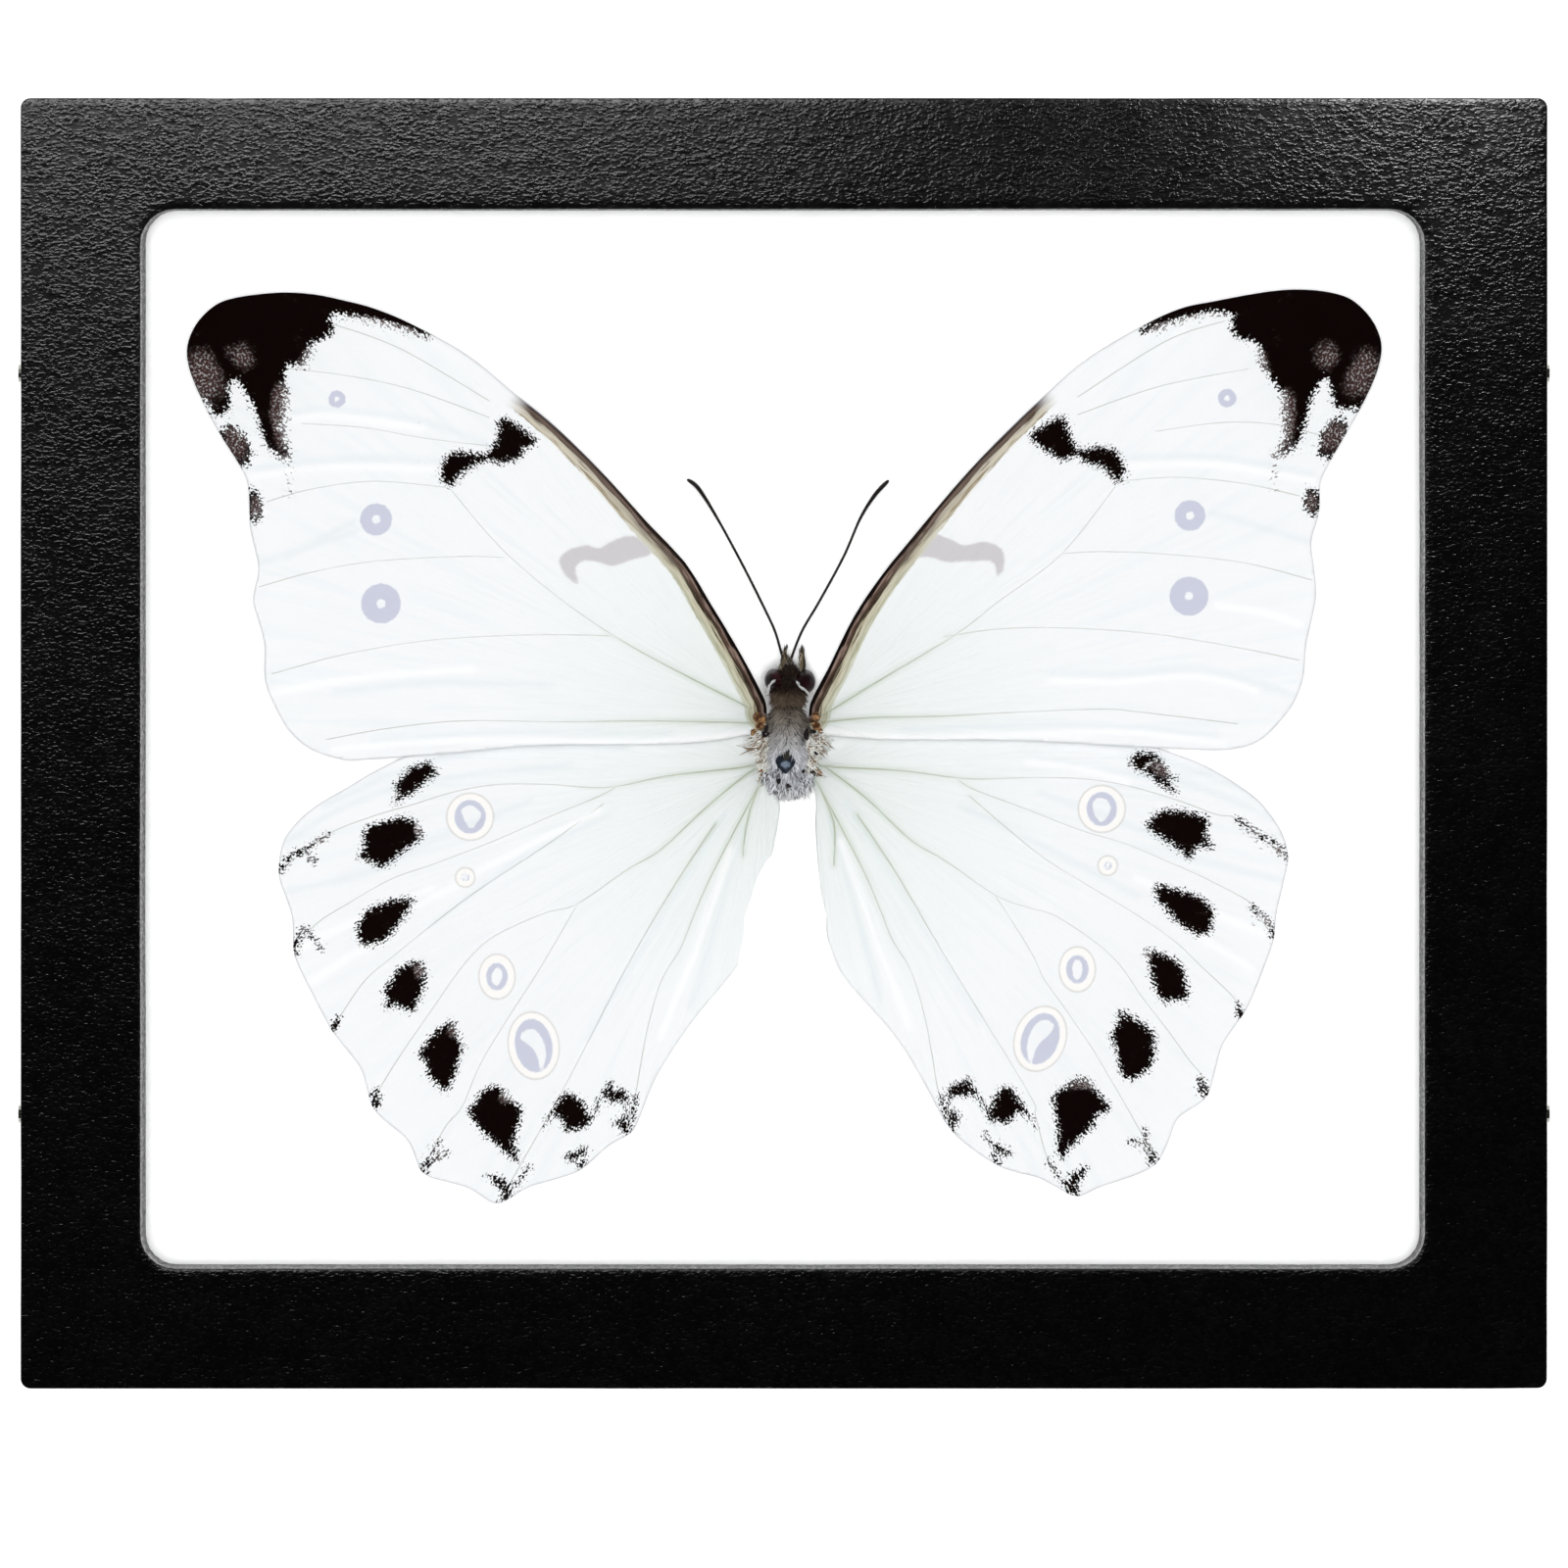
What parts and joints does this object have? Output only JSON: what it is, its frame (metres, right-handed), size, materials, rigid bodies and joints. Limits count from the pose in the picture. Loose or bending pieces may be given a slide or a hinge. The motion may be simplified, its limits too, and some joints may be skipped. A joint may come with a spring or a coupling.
{
  "type": "framed butterfly specimen",
  "caption": "Glazed black card display box with a spread white morpho butterfly pressed to the glass by white batting, lying on its back.",
  "frame": {"origin": "middle of the tray's underside, the face the box lies on", "axes": "+X along the box's long side, +Y towards the butterfly's head, +Z out through the glass"},
  "size_m": [0.1572, 0.1316, 0.019],
  "materials": {
    "lid_paper": "black grained covering paper, satin",
    "tray_board": "black paper on card, matte",
    "pane": "clear float glass",
    "batting": "white polyester batting",
    "pin_steel": "plain steel",
    "wing": "white scales, satin",
    "body_down": "grey down",
    "head_shell": "dark brown shell",
    "feeler": "black shell",
    "palp_down": "cream scales"
  },
  "bodies": {
    "root": {"lid": "lid_paper", "tray": "tray_board", "glass": "pane", "padding": "batting", "pin_left_upper": "pin_steel", "pin_left_lower": "pin_steel", "pin_right_upper": "pin_steel", "pin_right_lower": "pin_steel", "forewing_left": "wing", "forewing_right": "wing", "hindwing_left": "wing", "hindwing_right": "wing", "thorax": "body_down", "head": "head_shell", "palp_left": "palp_down", "palp_right": "palp_down", "antenna_left": "feeler", "antenna_right": "feeler"}
  },
  "joints": []
}
